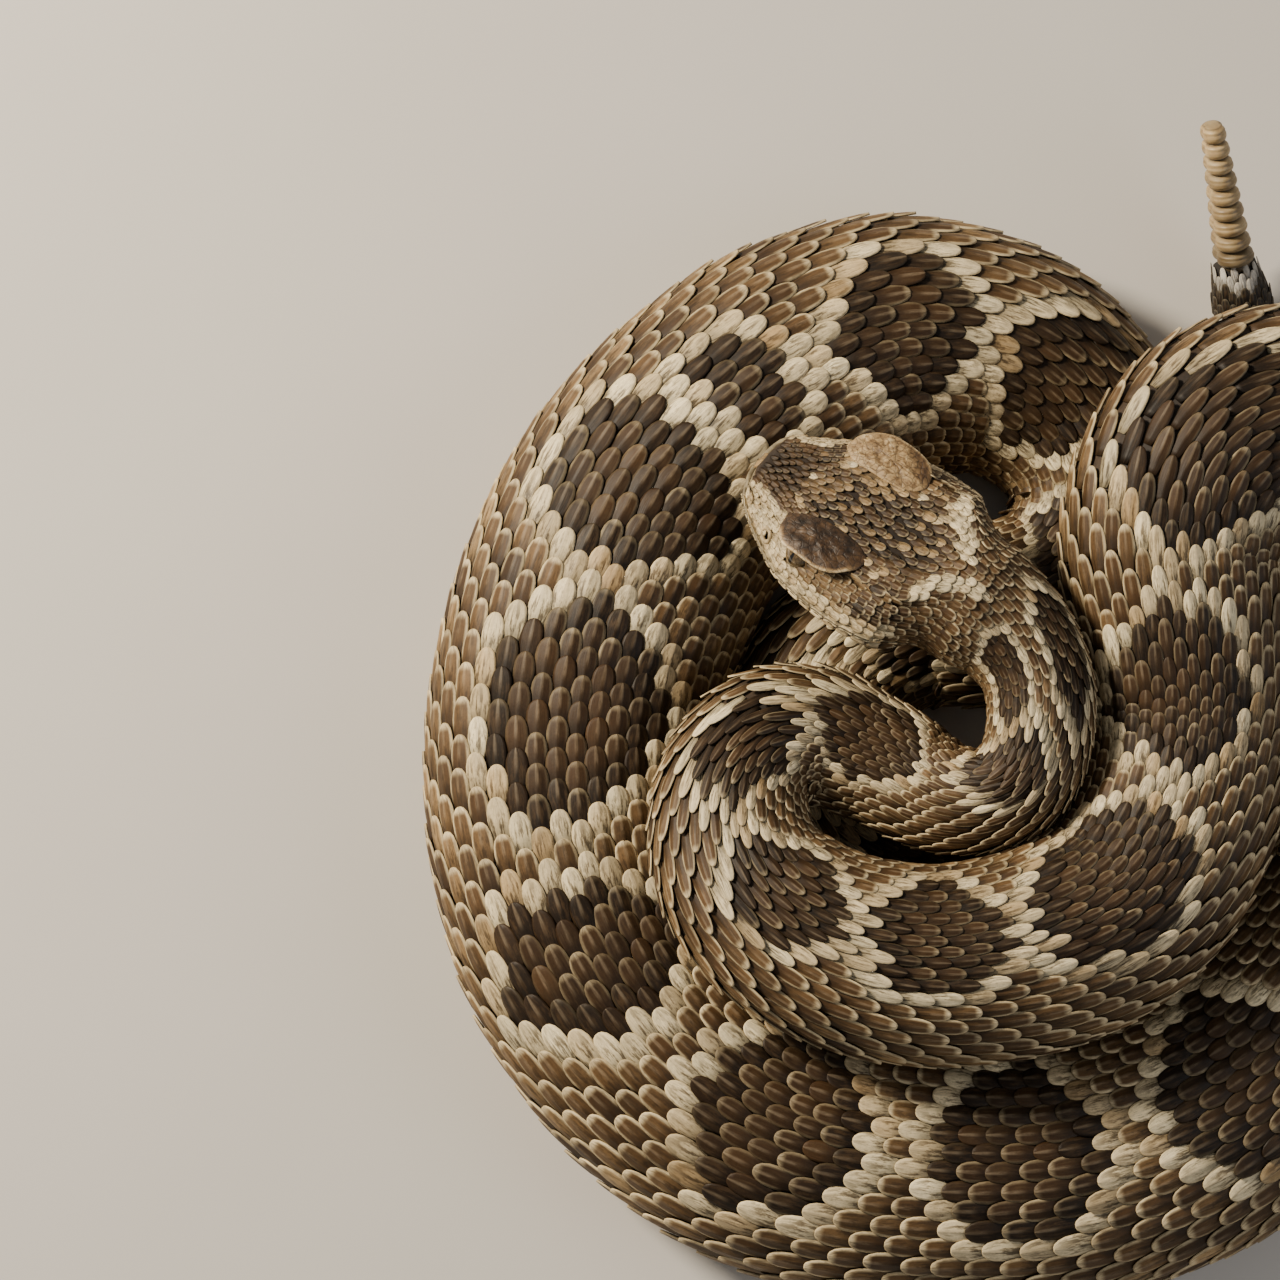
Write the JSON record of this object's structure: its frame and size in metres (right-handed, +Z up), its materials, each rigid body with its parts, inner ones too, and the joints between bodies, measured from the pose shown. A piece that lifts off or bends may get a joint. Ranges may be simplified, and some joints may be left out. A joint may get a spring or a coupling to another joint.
{
  "type": "resting coiled rattlesnake",
  "caption": "Life-size western diamondback rattlesnake model, coiled at rest in two loops on its flat belly, with the broad head on top and the rattle lifted at the edge of the coil.",
  "frame": {"origin": "on the floor under the middle of the whole animal, rattle included", "axes": "+Z up from the floor; +Y towards the raised rattle; +X towards the side where the body climbs on to itself"},
  "size_m": [0.2517, 0.262, 0.0737],
  "materials": {
    "scaled_skin": "satin",
    "lower_jaw": "satin",
    "tail_rings": "satin",
    "eye": "polished",
    "rattle": "satin"
  },
  "bodies": {
    "root": {"head": "scaled_skin", "lower_jaw": "lower_jaw", "eye_left": "eye", "eye_right": "eye", "neck_front": "scaled_skin", "neck_rear": "scaled_skin", "body_01": "scaled_skin", "body_02": "scaled_skin", "body_03": "scaled_skin", "body_04": "scaled_skin", "body_05": "scaled_skin", "body_06": "scaled_skin", "body_07": "scaled_skin", "body_08": "scaled_skin", "body_09": "scaled_skin", "body_10": "scaled_skin", "body_11": "scaled_skin", "body_12": "scaled_skin", "body_13": "scaled_skin", "body_14": "scaled_skin", "body_15": "scaled_skin", "body_16": "scaled_skin", "body_17": "scaled_skin", "body_18": "scaled_skin", "body_19": "scaled_skin", "body_20": "scaled_skin", "body_21": "scaled_skin", "body_22": "scaled_skin", "body_23": "scaled_skin", "tail_front": "tail_rings", "tail_rear": "tail_rings", "rattle": "rattle"}
  },
  "joints": []
}
